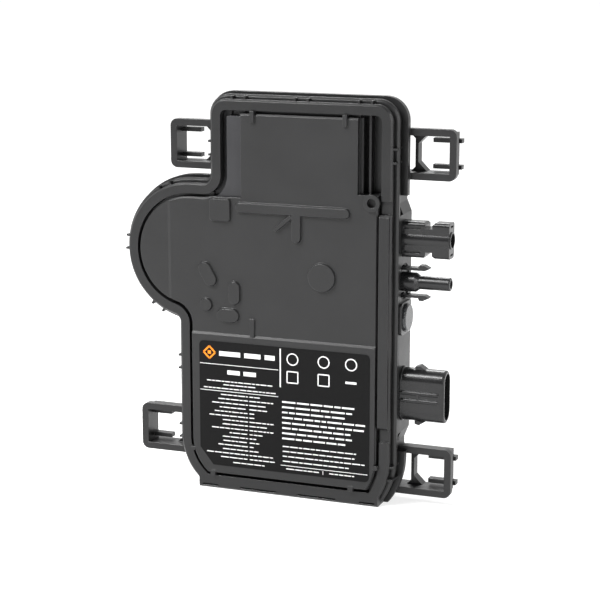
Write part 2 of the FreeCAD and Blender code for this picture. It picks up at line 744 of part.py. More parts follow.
def front_panel():
    face = -panel_proud
    seat = panel_seat_depth
    crease_x = bulge_x - chamber_step_out
    b = panel_bevel
    plate = union([
        taper(panel_outline(-b), face, panel_outline(0), face + b),
        prism(panel_outline(0), face + b, seat),
    ])
    hollow = prism(panel_outline(-panel_edge_wall), face + panel_thickness, seat + 1)
    plate = cut(plate, [hollow] + panel_channels(0))
    # edge walls along the corner channels
    walls = prism(panel_outline(0), face + b, seat).cut(panel_channels(0))
    inner = prism(panel_outline(-panel_edge_wall), face, seat + 1).cut(
        panel_channels(panel_edge_wall))
    plate = plate.fuse(walls.cut(inner))
    # the chamber's left part is set back
    slope = chamber_setback
    low = bulge_z - bulge_radius * 1.5
    crease = Part.Face(Part.makePolygon([
        v(crease_x - bulge_radius, y(face - 5), low),
        v(crease_x + slope, y(face - 5), low),
        v(crease_x + slope, y(face), low),
        v(crease_x - slope, y(face + chamber_setback), low),
        v(crease_x - bulge_radius, y(face + chamber_setback), low),
        v(crease_x - bulge_radius, y(face - 5), low),
    ]))
    plate = plate.cut(crease.extrude(v(0, 0, bulge_radius * 3)))
    # steps beside the tongue, inside the two corner channels
    for x0, x1, low in (
            (plateau_right - 0.3, plateau_right + channel_ledge, channel_foot_z),
            (-plateau_left - channel_ledge, -plateau_left + 0.3, channel_left_foot_z)):
        plate = plate.fuse(block(x0, x1, channel_ledge_depth, seat, low - 0.3,
                                 rim_top - rim_width - panel_gap))
    # lower part stands proud, for the label
    low_top = panel_step_z
    front = face - label_panel_proud
    proud = prism(panel_outline(-b * 0.5), front + 0.3, face + 1.2)
    keep = taper(polygon([(-200, low_top - label_panel_proud), (200, low_top - label_panel_proud),
                          (200, foot - 50), (-200, foot - 50)]), front,
                 polygon([(-200, low_top), (200, low_top), (200, foot - 50), (-200, foot - 50)]),
                 face)
    keep = keep.fuse(prism(polygon([(-200, low_top), (200, low_top), (200, foot - 50),
                                    (-200, foot - 50)]), face, face + 1.2))
    proud = union([proud, taper(panel_outline(-b * 0.5 - 0.3), front,
                                panel_outline(-b * 0.5), front + 0.3)]).common(keep)
    plate = plate.fuse(proud)
    plate = plate.fuse(panel_ribs(face))
    # narrow tongue up from the label part, joining the two levels
    plate = plate.fuse(block(-27.2, -24.9, front + 0.1, face + 0.5, low_top - 1.5, low_top + 9.0))
    # screw hole at the lower left, and the boss's blind hole
    hole_left = rod_y(front - 1, 0.6, -56.9, foot + 11.6, 2.1)
    boss_hole = rod_y(face - rib_height - 1, face + 1.4, half - boss_in,
                      channel_foot_z - boss_drop, boss_bore)
    plate = cut(plate, [hole_left, boss_hole])
    # bridging tabs that clip the panel into the rim's groove
    tabs = []
    reach = rim_width + panel_gap
    for x in (-25.5, 24.6):
        tabs.append(block(x - 1.1, x + 1.1, -tab_proud, 0.9,
                          rim_top - reach - 4.4, rim_top - rim_width))
    foot_reach = foot_line + rim_width
    for x in (-49.0, 28.7):
        tabs.append(block(x - 1.3, x + 1.3, -tab_proud, 0.9, foot_reach, foot_reach + 3.2))
    side_z = foot + 21.5
    tabs.append(block(half - reach - 1.0, half - rim_width, -tab_proud, 0.9,
                      side_z - 1.1, side_z + 1.1))
    tabs.append(block(lower_left + rim_width, lower_left + reach + 1.5, -tab_proud, 0.9,
                      side_z - 1.1, side_z + 1.1))
    inside = prism(body_outline(-rim_width - seat_gap), -tab_proud - 1, 3)
    tabs = [tab.common(inside) for tab in tabs]
    return plate.fuse(tabs).removeSplitter()


def rating_label():
    x0 = label_left
    x1 = label_right
    z1 = panel_step_z - label_top_gap
    z0 = foot + label_foot_rise
    r = label_corner
    c = label_chamfer
    face = -panel_proud - label_panel_proud
    outline = Part.Wire([
        line((x0 + r, z1), (x1 - r, z1)),
        arc_about((x1 - r, z1 - r), r, 90, 0),
        line((x1, z1 - r), (x1, z0 + r)),
        arc_about((x1 - r, z0 + r), r, 0, -90),
        line((x1 - r, z0), (x0 + c, z0)),
        line((x0 + c, z0), (x0, z0 + c * 1.25)),
        line((x0, z0 + c * 1.25), (x0, z1 - r)),
        arc_about((x0 + r, z1 - r), r, 180, 90),
    ])
    return prism(outline, face - label_thickness, face)


def cover_seal():
    """Gasket between the cover's flange and the case's flange."""
    inside = 0.2
    outside = inside + seal_width
    low = foot_line_rise - inside
    front = seam_depth
    back = case_flange_depth
    ring = prism(body_outline(outside, below=low), front, back)
    bore = prism(body_outline(inside), front - 1, back + 1)
    port = prism(port_outline(outside, port_inner - 1.0), front - 1, back + 1)
    lip = block(foot_lip_left - inside, foot_lip_right + inside, front - 1, back + 1,
                foot - 1, foot + foot_lip_height)
    return cut(ring, [bore, port, lip, right_flange_gap()])


def bored(shape, x0, x1, z, radius):
    return shape.cut(rod_x(x0, x1, port_depth, z, radius))


def dc_wide_notch(up):
    """Gap above or below the barrel that the mating plug's arms snap into."""
    tip = port_face + dc_wide_length
    floor_z = dc_wide_z + up * dc_wide_notch_floor
    edge_z = dc_wide_z + up * (dc_wide_half + 0.5)
    shoulder_z = dc_wide_z + up * (dc_wide_half - dc_wide_notch_round)
    left = tip - dc_wide_notch_start
    right = left + dc_wide_notch_width
    outline = Part.Face(Part.makePolygon([
        v(left, 0, floor_z),
        v(right, 0, floor_z),
        v(right, 0, shoulder_z),
        v(right + dc_wide_notch_round * 1.5, 0, edge_z),
        v(left - dc_wide_notch_round, 0, edge_z),
        v(left, 0, shoulder_z),
        v(left, 0, floor_z),
    ]))
    outline.translate(v(0, y(port_depth) - 10, 0))
    return outline.extrude(v(0, 20, 0))


def dc_wide_housing():
    tip = port_face + dc_wide_length
    foot_x = port_inner - port_seal - shoulder
    body = wide_outline(0, port_inner - port_seal, tip)
    body = body.fuse(wide_outline(1.2, foot_x, foot_x + shoulder))
    for up in (1, -1):
        body = body.cut(dc_wide_notch(up))
        # groove beside the barrel, on the near and the far face
        z0 = dc_wide_z + up * (dc_wide_barrel / 2 + 0.1)
        z1 = z0 + up * dc_wide_groove
        for d0, d1 in ((-10.0, -dc_wide_thickness / 2 + dc_wide_groove),
                       (dc_wide_thickness / 2 - dc_wide_groove, 10.0)):
            body = body.cut(block(port_face + 0.8, port_face + 9.8, port_depth + d0,
                                  port_depth + d1, min(z0, z1), max(z0, z1)))
        # short slot in the end face
        z2 = dc_wide_z + up * (dc_wide_half - 2.0)
        body = body.cut(block(tip - 1.6, tip + 1, port_depth - 2.2, port_depth + 2.2,
                              z2 - 0.5, z2 + 0.5))
    body = bored(body, port_face + 2.0, tip + 1, dc_wide_z, dc_wide_bore / 2)
    body = bored(body, foot_x - 1, tip, dc_wide_z, dc_pin / 2)
    # raised ring round the bore's mouth
    ring = bored(rod_x(tip - 1.0, tip + 0.5, port_depth, dc_wide_z, dc_wide_bore / 2 + 0.8),
                 tip - 2, tip + 1, dc_wide_z, dc_wide_bore / 2)
    return union([body, ring])


def dc_wide_pin():
    tip = port_face + dc_wide_length - 4.0
    start = port_inner - port_seal - shoulder - 4.0
    pin = rod_x(start, tip, port_depth, dc_wide_z, dc_pin / 2)
    ends = [e for e in pin.Edges if abs(e.BoundBox.XMin - tip) < 1e-6 and e.Closed]
    return pin.makeFillet(dc_pin * 0.35, ends)


def dc_wide_seal():
    ring = wide_outline(1.0, port_inner - port_seal, port_inner)
    return ring.cut(wide_outline(0, port_inner - port_seal - 1, port_inner + 1))


def slim_tip():
    return port_face + slim_nose_length - 0.7


def dc_slim_nose():
    tip = slim_tip()
    foot_x = port_inner - port_seal - shoulder
    step = port_face + slim_collar_length
    r = slim_nose / 2
    collar = rod_x(port_inner - port_seal, step, port_depth, slim_z, slim_collar / 2)
    base = rod_x(foot_x, foot_x + shoulder, port_depth, slim_z, slim_collar / 2 + 1.2)
    cone = Part.makeCone(slim_collar / 2, r + 0.2, 1.8, v(step, y(port_depth), slim_z), v(1, 0, 0))
    nose = rod_x(step, tip, port_depth, slim_z, r)
    nose = nose.makeFillet(0.7, [e for e in nose.Edges
                                 if e.Closed and abs(e.BoundBox.XMin - tip) < 1e-6])
    body = union([collar, base, cone, nose])
    return bored(body, foot_x - 1, tip + 1, slim_z, contact_bore / 2 + contact_wall)


def dc_slim_socket():
    end = slim_tip() - 1.6
    start = port_inner - port_seal - shoulder - 4.0
    body = rod_x(start, end, port_depth, slim_z, contact_bore / 2 + contact_wall)
    return bored(body, end - 16.0, end + 1, slim_z, contact_bore / 2)


def dc_slim_seal():
    ring = rod_x(port_inner - port_seal, port_inner, port_depth, slim_z, slim_collar / 2 + 1.0)
    return bored(ring, port_inner - 5, port_inner + 5, slim_z, slim_collar / 2)


def latch_arm(up):
    """Barbed spring finger beside the slim nose; up is +1 above it and -1 below."""
    x0 = port_face - slim_recess_depth - 2.6
    z = slim_z + up * arm_offset
    y0 = y(port_depth) - arm_width / 2
    t = arm_thickness / 2
    tip = port_face + arm_length
    pts = [
        (x0, z - up * t),
        (tip - 2.4, z - up * t),
        (tip, z + up * t * 0.6),
        (tip - 3.2, z + up * (t + arm_barb)),
        (tip - 5.4, z + up * (t + arm_barb)),
        (tip - 5.9, z + up * t),
        (x0, z + up * t),
    ]
    arm = Part.Face(polygon(pts))
    arm.translate(v(0, y0, 0))
    arm = arm.extrude(v(0, arm_width, 0))
    root = Part.makeCylinder(arm_pivot, arm_width, v(x0, y0, z), v(0, 1, 0))
    return arm.fuse(root).removeSplitter()


def latch_arm_upper():
    return latch_arm(1)


def latch_arm_lower():
    return latch_arm(-1)


def lens_bezel():
    x0 = port_face
    y0 = y(port_depth) - bezel_half
    plate = Part.makeBox(bezel_thickness, bezel_size, bezel_size, v(x0, y0, lens_z - bezel_half))
    corners = [e for e in plate.Edges if abs(e.tangentAt(e.FirstParameter).x) > 0.9]
    plate = plate.makeFillet(1.6, corners)
    return bored(plate, x0 - 1, x0 + 5, lens_z, lens_bore / 2)


def status_lens():
    x0 = port_face + bezel_thickness
    dome = rod_x(x0, x0 + 1.7, port_depth, lens_z, lens_diameter / 2)
    dome = dome.makeFillet(1.2, [e for e in dome.Edges
                                 if e.Closed and abs(e.BoundBox.XMin - (x0 + 1.7)) < 1e-6])
    guide = rod_x(port_inner - 1.5, x0, port_depth, lens_z, lens_bore / 2)
    return union([dome, guide])


def status_led():
    x0 = port_inner - 5.5
    base = board_depth + board_thickness
    return block(x0, x0 + 3.2, base, base + 3.4, lens_z - 1.6, lens_z + 1.6)


def ac_shroud():
    tip = port_face + ac_length
    foot_x = port_inner - port_seal - shoulder
    body = ac_bar(0, port_inner - port_seal, tip)
    ends = [e for e in body.Edges if abs(e.BoundBox.XMin - tip) < 1e-6
            and e.BoundBox.XLength < 1e-6]
    body = body.makeFillet(ac_mouth_round, ends)
    body = body.fuse(ac_bar(1.2, foot_x, foot_x + shoulder))
    front = port_depth - ac_thickness / 2
    # two long round-backed ribs on the near side, joined by a short bar
    for z in (ac_z + 2.0, ac_z - 2.0):
        body = body.fuse(rod_x(port_face, port_face + ac_rib_length, front + 0.3, z, ac_rib))
        body = body.fuse(Part.makeSphere(ac_rib, v(port_face + ac_rib_length, y(front + 0.3), z)))
    body = body.fuse(block(port_face + 9.2, port_face + 10.6, front - ac_rib + 0.5, front + 1,
                           ac_z - 2.0, ac_z + 2.0))
    # ring at the root
    body = body.fuse(ac_bar(0.5, port_face, port_face + 1.0))
    # snap wedges above and below
    for up in (1, -1):
        edge = ac_z + up * (ac_half - 0.3)
        wedge = Part.Face(polygon([(port_face + 7.3, edge), (port_face + 7.3, edge + up * 1.6),
                                   (port_face + 9.6, edge + up * 2.2), (port_face + 13.0, edge)]))
        wedge.translate(v(0, y(port_depth) - 2.6, 0))
        body = body.fuse(wedge.extrude(v(0, 5.2, 0)))
    hollow = ac_bar(-ac_wall, port_face - 1.0, tip + 1)
    back = [rod_x(foot_x - 1, tip, port_depth, ac_z + s * ac_pin_reach(), ac_pin / 2)
            for s in (1, -1)]
    return cut(body, [hollow] + back)


def ac_pin_reach():
    return ac_half - ac_wall - ac_pin / 2 - 2.4


def ac_insulator():
    """Keyed tower in the middle of the shroud, on a plate that locates the pins."""
    x0 = port_face - 1.0
    plate = ac_bar(-ac_wall, x0, x0 + 1.6)
    tower = rod_x(x0, port_face + ac_length - 2.6, port_depth, ac_z, 2.6)
    body = union([plate, tower])
    for s in (1, -1):
        body = bored(body, x0 - 1, x0 + 5, ac_z + s * ac_pin_reach(), ac_pin / 2)
    return bored(body, port_face + ac_length - 8, port_face + ac_length, ac_z, 1.2)


def ac_pins():
    x0 = port_inner - port_seal - shoulder - 4.0
    x1 = port_face + ac_length - 6.5
    pins = []
    for s in (1, -1):
        pin = rod_x(x0, x1, port_depth, ac_z + s * ac_pin_reach(), ac_pin / 2)
        ends = [e for e in pin.Edges if e.Closed and abs(e.BoundBox.XMin - x1) < 1e-6]
        pins.append(pin.makeFillet(ac_pin * 0.35, ends))
    return Part.makeCompound(pins)


def ac_seal():
    ring = ac_bar(1.0, port_inner - port_seal, port_inner)
    return ring.cut(ac_bar(0, port_inner - port_seal - 1, port_inner + 1))


def lead(z, radius):
    """Strip from a contact's inner end to the board."""
    x1 = port_inner - port_seal - shoulder - 0.6
    x0 = x1 - lead_width
    base = board_depth + board_thickness
    strip = block(x0, x1, base, port_depth + radius + lead_thickness,
                  z - radius - lead_thickness, z + radius + lead_thickness)
    return strip.cut(rod_x(x0 - 1, x1 + 1, port_depth, z, radius))


def dc_wide_lead():
    return lead(dc_wide_z, dc_pin / 2)


def dc_slim_lead():
    return lead(slim_z, contact_bore / 2 + contact_wall)


def ac_leads():
    return Part.makeCompound([lead(ac_z + s * ac_pin_reach(), ac_pin / 2) for s in (1, -1)])


def board_back():
    return board_depth + board_thickness


def main_board():
    board = prism(body_outline(-(wall + board_margin)), board_depth, board_back())
    # clear of the connector wall's inner shoulders
    right = port_inner - port_seal - shoulder - 0.4
    edge = block(right, half + 5, board_depth - 1, board_back() + 1,
                 port_foot - port_slope - 2, port_top + port_slope + 2)
    hole = rod_y(board_depth - 1, board_back() + 1, bulge_x, bulge_z, core_radius + 0.5)
    return cut(board, [edge, hole])


def core_front_depth():
    return body_depth - wall - 0.6 - core_height


def core_half(front):
    """Half of the round pot core that closes over the coils."""
    d0 = core_front_depth()
    mid = d0 + core_height / 2
    d1 = d0 + core_height
    a, b = (d0, mid) if front else (mid, d1)
    body = rod_y(a, b, bulge_x, bulge_z, core_radius)
    c, d = (d0 + core_plate, mid + 1) if front else (mid - 1, d1 - core_plate)
    body = body.cut(rod_y(c, d, bulge_x, bulge_z, core_radius - core_wall))
    body = body.fuse(rod_y(a, b, bulge_x, bulge_z, core_post))
    body = body.cut(rod_y(a - 1, b + 1, bulge_x, bulge_z, 2.2))
    # mouths where the wires leave
    for deg in (-90, 90):
        mouth = block(bulge_x - 5, bulge_x + 5, c if front else mid - 1, mid + 1 if front else d,
                      bulge_z - core_radius - 2, bulge_z - core_radius + core_wall + 2)
        mouth.rotate(v(bulge_x, 0, bulge_z), v(0, 1, 0), deg + 90)
        body = body.cut(mouth)
    return body.removeSplitter()


def transformer_core_front():
    return core_half(True)


def transformer_core_rear():
    return core_half(False)


def coil_span():
    d0 = core_front_depth() + core_plate + coil_gap
    d1 = core_front_depth() + core_height - core_plate - coil_gap
    return d0, d1


def transformer_bobbin():
    d0, d1 = coil_span()
    w = bobbin_wall
    inner = core_post + coil_gap
    outer = core_radius - core_wall - coil_gap
    tube = rod_y(d0, d1, bulge_x, bulge_z, inner + w)
    mid = (d0 + d1) / 2
    plates = [rod_y(a, a + w, bulge_x, bulge_z, outer) for a in (d0, mid - w / 2, d1 - w)]
    body = union([tube] + plates)
    return body.cut(rod_y(d0 - 1, d1 + 1, bulge_x, bulge_z, inner))


def winding(a, b):
    """Ring of wound wire on the bobbin between two depths."""
    inner = core_post + coil_gap + bobbin_wall
    outer = core_radius - core_wall - coil_gap - 1.0
    ring = rod_y(a, b, bulge_x, bulge_z, outer)
    ring = ring.cut(rod_y(a - 1, b + 1, bulge_x, bulge_z, inner))
    return ring


def primary_winding():
    d0, d1 = coil_span()
    mid = (d0 + d1) / 2
    return winding(d0 + bobbin_wall, mid - bobbin_wall / 2)


def secondary_winding():
    d0, d1 = coil_span()
    mid = (d0 + d1) / 2
    return winding(mid + bobbin_wall / 2, d1 - bobbin_wall)


def input_capacitors():
    z = rim_top - 23.0
    cans = []
    for i in range(4):
        x = (i - 1.5) * capacitor_pitch
        can = rod_y(board_back(), board_back() + capacitor_height, x, z, capacitor_radius)
        groove = rod_y(board_back() + 1.4, board_back() + 2.2, x, z, capacitor_radius + 1)
        groove = groove.cut(rod_y(board_back(), board_back() + 4, x, z, capacitor_radius - 0.5))
        cans.append(can.cut(groove))
    return Part.makeCompound(cans)


def film_capacitors():
    base = board_back()
    boxes = []
    for drop in (43.0, 57.0):
        z = rim_top - drop
        one = block(-film_length / 2, film_length / 2, base, base + film_height,
                    z - film_width / 2, z + film_width / 2)
        boxes.append(one.makeFillet(0.6, [e for e in one.Edges if e.Length > 0]))
    return Part.makeCompound(boxes)


def choke_place():
    return half - 42.0, foot + 38.0


def choke_core():
    x, z = choke_place()
    d = board_back() + 1.2
    body = rod_y(d + 1.2, d + choke_height - 1.2, x, z, choke_radius - 1.2)
    return body.cut(rod_y(d, d + choke_height, x, z, choke_bore + 1.2))


def choke_windings():
    """Two coils, one on each side of the choke's core."""
    x, z = choke_place()
    d = board_back() + 1.2
    coils = []
    for side in (1, -1):
        coil = rod_y(d, d + choke_height, x, z, choke_radius)
        coil = coil.cut(rod_y(d - 1, d + choke_height + 1, x, z, choke_bore))
        keep = block(x + 2.0, x + 20, d - 1, d + choke_height + 1, z - 20, z + 20)
        if side < 0:
            keep = block(x - 20, x - 2.0, d - 1, d + choke_height + 1, z - 20, z + 20)
        coil = coil.common(keep)
        core = rod_y(d + 1.2, d + choke_height - 1.2, x, z, choke_radius - 1.2)
        core = core.cut(rod_y(d, d + choke_height, x, z, choke_bore + 1.2))
        coils.append(coil.cut(core))
    return Part.makeCompound(coils)


def choke_base():
    x, z = choke_place()
    d = board_back()
    plate = rod_y(d, d + 1.2, x, z, choke_radius + 0.6)
    fin = block(x - 0.8, x + 0.8, d + 1.2, d + 1.2 + choke_height,
                z - choke_bore + 0.2, z + choke_bore - 0.2)
    return plate.fuse(fin).removeSplitter()


def transistor_places(z):
    return [(half - a, z + b) for a in (21.0, 33.0) for b in (7.0, -7.0)]


def packages(places, wide, high, thick, front):
    """Flat packages on the board, on its front or its back, one at each place."""
    bodies = []
    for x, z in places:
        d = (board_depth - thick, board_depth) if front else (board_back(), board_back() + thick)
        bodies.append(block(x - wide / 2, x + wide / 2, d[0], d[1], z - high / 2, z + high / 2))
    return Part.makeCompound(bodies)


def dc_transistors():
    return packages(transistor_places(slim_z + 8.0), transistor_size, transistor_size,
                    transistor_thickness, True)


def ac_transistors():
    return packages(transistor_places(ac_z), transistor_size, transistor_size,
                    transistor_thickness, True)


def thermal_pads():
    places = transistor_places(slim_z + 8.0) + transistor_places(ac_z)
    pads = []
    back = board_depth - transistor_thickness
    for x, z in places:
        r = transistor_size / 2
        pads.append(block(x - r, x + r, back - pad_thickness, back, z - r, z + r))
    return Part.makeCompound(pads)


def heat_spreader():
    back = board_depth - transistor_thickness - pad_thickness
    x0 = half - 40.0
    x1 = half - 12.0
    z0 = ac_z - 14.0
    z1 = slim_z + 22.0
    plate = block(x0, x1, back - spreader_thickness, back, z0, z1)
    return plate.makeFillet(2.0, [e for e in plate.Edges
                                  if abs(e.tangentAt(e.FirstParameter).y) > 0.9])


def controller_chip():
    return packages([(-18.0, bulge_z - 12.0)], 14.0, 14.0, chip_thickness, False)


def communication_chip():
    return packages([(-18.0, bulge_z - 32.0)], 10.0, 10.0, chip_thickness, False)


def gate_drivers():
    places = [(half - 27.0, slim_z + 14.0), (half - 27.0, slim_z + 2.0),
              (half - 27.0, ac_z + 12.0), (half - 27.0, ac_z + 2.0)]
    return packages(places, 6.0, 5.0, 1.8, False)


def current_shunt():
    return packages([(half - 14.0, (dc_wide_z + slim_z) / 2)], 6.4, 3.2, 1.0, False)


def chip_capacitors():
    places = [(-18.0 + dx, bulge_z - 12.0 + dz)
              for dx in (-10.0, 10.0) for dz in (-5.0, 0.0, 5.0)]
    places += [(half - 35.0, slim_z + dz) for dz in (0.0, 4.0, 8.0)]
    places += [(half - 19.0, ac_z + dz) for dz in (0.0, 4.0, 8.0)]
    return packages(places, 3.2, 1.6, 1.6, False)


def surge_varistor():
    x = half - 20.0
    z = foot + 33.0
    return rod_y(board_back(), board_back() + 4.5, x, z, 6.0)


def ac_fuse():
    x = half - 12.5
    z = ac_z - 6.0
    base = board_back()
    glass = Part.makeCylinder(2.4, 11.0, v(x, y(base + 2.6), z - 5.5), v(0, 0, 1))
    caps = [block(x - 2.6, x + 2.6, base, base + 5.2, z + a, z + a + 2.4) for a in (-6.6, 4.2)]
    return union([glass] + caps)


INNER_PARTS = {
    "cover_seal": cover_seal,
    "dc_wide_housing": dc_wide_housing,
    "dc_wide_pin": dc_wide_pin,
    "dc_wide_seal": dc_wide_seal,
    "dc_slim_nose": dc_slim_nose,
    "dc_slim_socket": dc_slim_socket,
    "dc_slim_seal": dc_slim_seal,
    "latch_arm_upper": latch_arm_upper,
    "latch_arm_lower": latch_arm_lower,
    "lens_bezel": lens_bezel,
    "status_lens": status_lens,
    "status_led": status_led,
    "ac_shroud": ac_shroud,
    "ac_insulator": ac_insulator,
    "ac_pins": ac_pins,
    "ac_seal": ac_seal,
    "dc_wide_lead": dc_wide_lead,
    "dc_slim_lead": dc_slim_lead,
    "ac_leads": ac_leads,
    "main_board": main_board,
    "transformer_core_front": transformer_core_front,
    "transformer_core_rear": transformer_core_rear,
    "transformer_bobbin": transformer_bobbin,
    "primary_winding": primary_winding,
    "secondary_winding": secondary_winding,
    "input_capacitors": input_capacitors,
    "film_capacitors": film_capacitors,
    "choke_core": choke_core,
    "choke_windings": choke_windings,
    "choke_base": choke_base,
    "dc_transistors": dc_transistors,
    "ac_transistors": ac_transistors,
    "thermal_pads": thermal_pads,
    "heat_spreader": heat_spreader,
    "controller_chip": controller_chip,
    "communication_chip": communication_chip,
    "gate_drivers": gate_drivers,
    "current_shunt": current_shunt,
    "chip_capacitors": chip_capacitors,
    "surge_varistor": surge_varistor,
    "ac_fuse": ac_fuse,
}

SHELLS = {
    "rear_case": rear_case,
    "front_cover": front_cover,
    "front_panel": front_panel,
    "rating_label": rating_label,
}


def potting_compound(made):
    """Resin that fills the case round everything else."""
    floor = body_depth - wall
    seat = panel_seat_depth + wall
    fill = prism(body_outline(-wall), seat, floor)
    edge = rim_width + panel_gap + panel_edge_wall
    fill = fill.fuse(prism(body_outline(-edge), panel_thickness - panel_proud, seat))
    inside = port_inner - port_seal - shoulder
    wall_side = block(inside, half + 5, 0, body_depth, port_foot - port_slope,
                      port_top + port_slope)
    tools = [made[n] for n in made if n not in ("rating_label", "latch_arm_upper",
                                                "latch_arm_lower", "lens_bezel")]
    fill = fill.cut(wall_side)
    solids = []
    for tool in tools:
        solids += tool.Solids
    fill = fill.cut(solids)
    return max(fill.Solids, key=lambda one: one.Volume)


def main():
    os.makedirs("parts", exist_ok=True)
    made = {}
    for name, make in {**SHELLS, **INNER_PARTS}.items():
        made[name] = make()
    made["potting_compound"] = potting_compound(made)
    for name, shape in made.items():
        shape.exportStep("parts/" + name + ".step")
        print(name, len(shape.Solids), shape.isValid(), round(shape.Volume / 1000, 2))


main()
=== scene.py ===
import math
import random

import bmesh
import bpy
from mathutils import Matrix, Vector


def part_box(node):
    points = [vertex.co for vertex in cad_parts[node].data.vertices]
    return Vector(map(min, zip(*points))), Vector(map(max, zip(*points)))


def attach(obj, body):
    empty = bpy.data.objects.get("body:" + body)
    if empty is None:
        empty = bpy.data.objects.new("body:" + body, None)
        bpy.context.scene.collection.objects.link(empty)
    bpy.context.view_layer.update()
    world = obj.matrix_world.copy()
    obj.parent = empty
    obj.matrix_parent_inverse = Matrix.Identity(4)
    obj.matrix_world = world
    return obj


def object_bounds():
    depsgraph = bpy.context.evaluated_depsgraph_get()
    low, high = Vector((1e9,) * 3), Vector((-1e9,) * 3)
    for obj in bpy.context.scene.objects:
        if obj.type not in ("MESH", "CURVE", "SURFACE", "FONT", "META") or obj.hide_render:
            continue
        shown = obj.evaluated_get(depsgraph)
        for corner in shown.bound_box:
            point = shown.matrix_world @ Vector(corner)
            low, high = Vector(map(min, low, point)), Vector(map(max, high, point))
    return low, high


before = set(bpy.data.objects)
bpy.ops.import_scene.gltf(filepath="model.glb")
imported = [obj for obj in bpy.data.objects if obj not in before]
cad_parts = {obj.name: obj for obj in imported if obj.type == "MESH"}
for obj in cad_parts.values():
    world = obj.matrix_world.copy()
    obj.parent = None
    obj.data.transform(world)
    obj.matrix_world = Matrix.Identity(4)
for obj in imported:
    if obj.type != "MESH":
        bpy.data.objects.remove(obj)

cad_box = [list(corner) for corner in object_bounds()]

# ---------------------------------------------------------------------------
# Studio.  The unit stands on its foot lip on a plain pale floor.  One broad soft
# light hangs above on the left, a weaker one fills from the right, and a strip
# behind draws the edges of the dark plastic.
floor_z = cad_box[0][2]
floor_reach = 14.0


def look_at(thing, place, aim):
    thing.location = place
    thing.rotation_mode = "QUATERNION"
    thing.rotation_quaternion = (Vector(aim) - Vector(place)).to_track_quat("-Z", "Y")


def softbox(name, place, aim, wide, high, watts):
    lamp = bpy.data.lights.new(name, "AREA")
    lamp.shape = "RECTANGLE"
    lamp.size = wide
    lamp.size_y = high
    lamp.energy = watts
    thing = bpy.data.objects.new(name, lamp)
    bpy.context.scene.collection.objects.link(thing)
    look_at(thing, place, aim)


softbox("key_light", (-0.75, -0.85, 1.15), (0, 0, 0), 0.7, 0.7, 54)
softbox("fill_light", (1.4, -0.7, 0.45), (0, 0, 0), 0.35, 1.2, 10)
softbox("edge_light", (-0.5, 0.8, 0.9), (0, 0, 0.03), 0.9, 0.3, 12)

world = bpy.data.worlds.new("studio_air")
bpy.context.scene.world = world
world.use_nodes = True
air = world.node_tree.nodes["Background"]
air.inputs["Color"].default_value = (1.0, 1.0, 1.0, 1.0)
# bright behind the unit, dim in front of it, so that its recesses stay dark
air_nodes = world.node_tree.nodes
air_links = world.node_tree.links
heading = air_nodes.new("ShaderNodeTexCoord")
parts_of_heading = air_nodes.new("ShaderNodeSeparateXYZ")
air_links.new(heading.outputs["Generated"], parts_of_heading.inputs["Vector"])
fall = air_nodes.new("ShaderNodeMapRange")
fall.inputs["From Min"].default_value = -0.35
fall.inputs["From Max"].default_value = 0.25
fall.inputs["To Min"].default_value = 0.16
fall.inputs["To Max"].default_value = 1.08
air_links.new(parts_of_heading.outputs["Y"], fall.inputs["Value"])
air_links.new(fall.outputs["Result"], air.inputs["Strength"])
bpy.context.scene.view_settings.view_transform = "Standard"

bm = bmesh.new()
bmesh.ops.create_circle(bm, cap_ends=True, segments=96, radius=floor_reach,
                        matrix=Matrix.Translation((0, 0, floor_z)))
floor_mesh = bpy.data.meshes.new("studio_floor")
bm.to_mesh(floor_mesh)
bm.free()
floor = bpy.data.objects.new("studio_floor", floor_mesh)
bpy.context.scene.collection.objects.link(floor)
floor_paint = bpy.data.materials.new("studio_floor")
floor_paint.use_nodes = True
floor_shader = floor_paint.node_tree.nodes["Principled BSDF"]
floor_shader.inputs["Base Color"].default_value = (0.4, 0.4, 0.4, 1.0)
floor_shader.inputs["Roughness"].default_value = 0.9
floor_shader.inputs["Specular IOR Level"].default_value = 0.1
floor_shader.inputs["Emission Color"].default_value = (1.0, 1.0, 1.0, 1.0)
floor_shader.inputs["Emission Strength"].default_value = 0.74
floor_mesh.materials.append(floor_paint)

# Camera: a long lens a little to the right of the front and above the middle.
view_turn = math.radians(21.1)
view_rise = math.radians(12.0)
view_distance = 0.900
rim_face_y = -0.0285
view_aim = Vector((0.00025, rim_face_y, 0.0008))
camera_data = bpy.data.cameras.new("camera")
camera_data.lens = 105
camera_data.sensor_width = 36
camera = bpy.data.objects.new("camera", camera_data)
bpy.context.scene.collection.objects.link(camera)
view_back = Vector((math.sin(view_turn) * math.cos(view_rise),
                    -math.cos(view_turn) * math.cos(view_rise),
                    math.sin(view_rise)))
look_at(camera, view_aim + view_back * view_distance, view_aim)
bpy.context.scene.camera = camera
